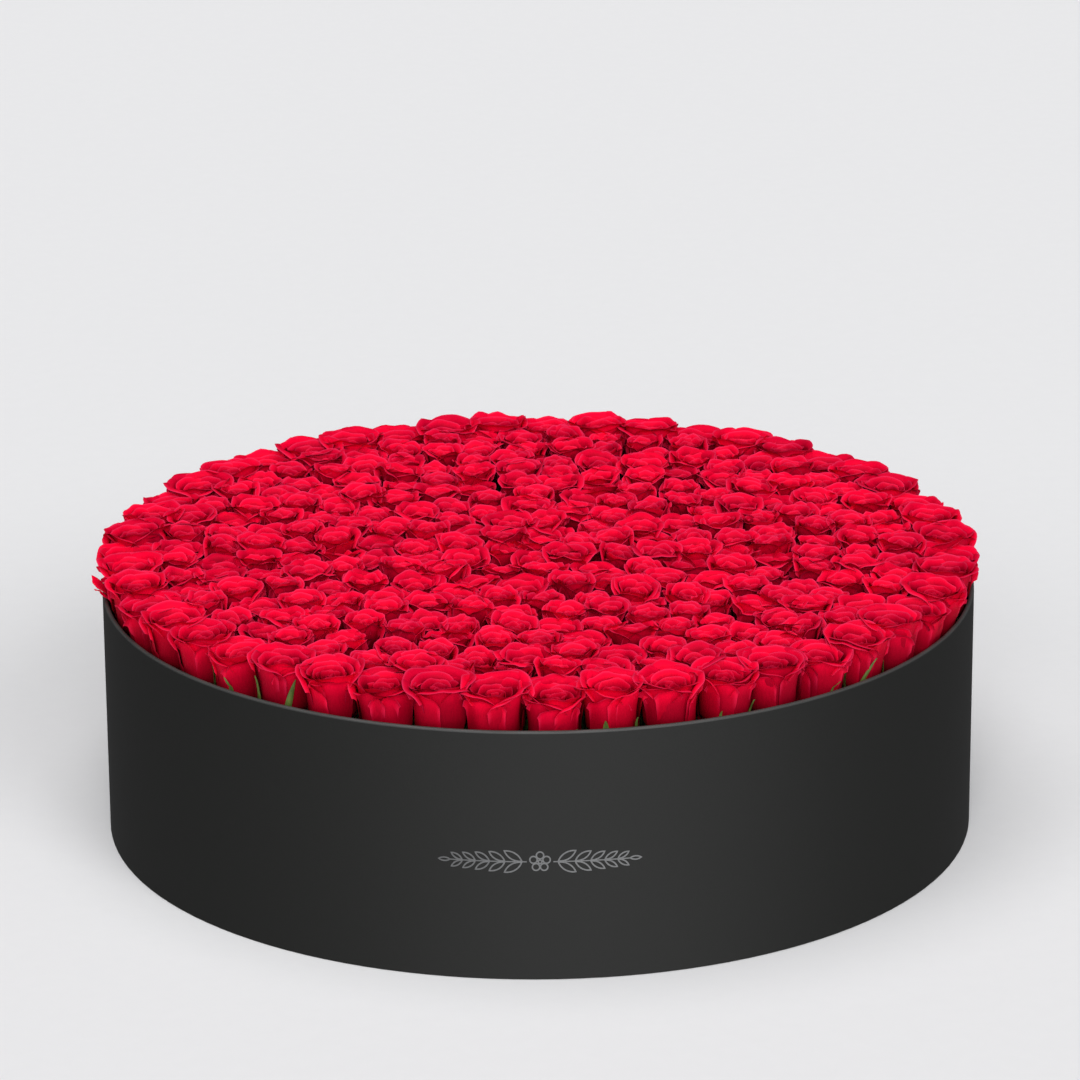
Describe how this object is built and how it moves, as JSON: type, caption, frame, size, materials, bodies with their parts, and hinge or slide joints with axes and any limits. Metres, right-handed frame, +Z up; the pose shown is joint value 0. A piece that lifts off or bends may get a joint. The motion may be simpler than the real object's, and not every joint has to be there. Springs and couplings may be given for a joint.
{
  "type": "flower box",
  "caption": "Low round board box wrapped in matt black paper, filled edge to edge with red roses standing in floral foam in a waterproof tray that lifts out.",
  "frame": {"origin": "middle of the underside, where the box stands on the table", "axes": "+Z up, -Y towards the viewer of the foil ornament on the front, +X to that viewer's right"},
  "size_m": [0.7, 0.7003, 0.235],
  "materials": {
    "grey_board": "matte",
    "gummed_tape": "matte",
    "black_paper": "matte",
    "black_lining": "matte",
    "silver_foil": "satin",
    "tray_plastic": "satin",
    "floral_foam": "matte",
    "rose_stem": "satin",
    "rose_green": "satin",
    "rose_petal": "satin"
  },
  "bodies": {
    "box": {"wall_board": "grey_board", "base_board": "grey_board", "board_joint_tape": "gummed_tape", "outer_wrap": "black_paper", "inner_lining": "black_lining", "base_lining": "black_lining", "underside_paper": "black_lining", "foil_ornament": "silver_foil"},
    "arrangement": {"waterproof_tray": "tray_plastic", "foam_brick_1_1": "floral_foam", "foam_brick_1_2": "floral_foam", "foam_brick_1_3": "floral_foam", "foam_brick_2_1": "floral_foam", "foam_brick_2_2": "floral_foam", "foam_brick_2_3": "floral_foam", "foam_brick_3_1": "floral_foam", "foam_brick_3_2": "floral_foam", "foam_brick_3_3": "floral_foam", "foam_brick_4_1": "floral_foam", "foam_brick_4_2": "floral_foam", "foam_brick_4_3": "floral_foam", "foam_brick_5_1": "floral_foam", "foam_brick_5_2": "floral_foam", "foam_brick_5_3": "floral_foam", "foam_brick_6_1": "floral_foam", "foam_brick_6_2": "floral_foam", "foam_brick_6_3": "floral_foam", "stems_ring_00": "rose_stem", "stems_ring_01": "rose_stem", "stems_ring_02": "rose_stem", "stems_ring_03": "rose_stem", "stems_ring_04": "rose_stem", "stems_ring_05": "rose_stem", "stems_ring_06": "rose_stem", "stems_ring_07": "rose_stem", "stems_ring_08": "rose_stem", "stems_ring_09": "rose_stem", "stems_ring_10": "rose_stem", "calyxes_ring_00": "rose_green", "calyxes_ring_01": "rose_green", "calyxes_ring_02": "rose_green", "calyxes_ring_03": "rose_green", "calyxes_ring_04": "rose_green", "calyxes_ring_05": "rose_green", "calyxes_ring_06": "rose_green", "calyxes_ring_07": "rose_green", "calyxes_ring_08": "rose_green", "calyxes_ring_09": "rose_green", "calyxes_ring_10": "rose_green", "blooms_ring_00": "rose_petal", "blooms_ring_01": "rose_petal", "blooms_ring_02": "rose_petal", "blooms_ring_03": "rose_petal", "blooms_ring_04": "rose_petal", "blooms_ring_05": "rose_petal", "blooms_ring_06": "rose_petal", "blooms_ring_07": "rose_petal", "blooms_ring_08": "rose_petal", "blooms_ring_09": "rose_petal", "blooms_ring_10": "rose_petal"}
  },
  "joints": [
    {"name": "arrangement_lift", "type": "slide", "parent": "box", "child": "arrangement", "axis": [0, 0, 1], "range_m": [0, 0.2]}
  ]
}
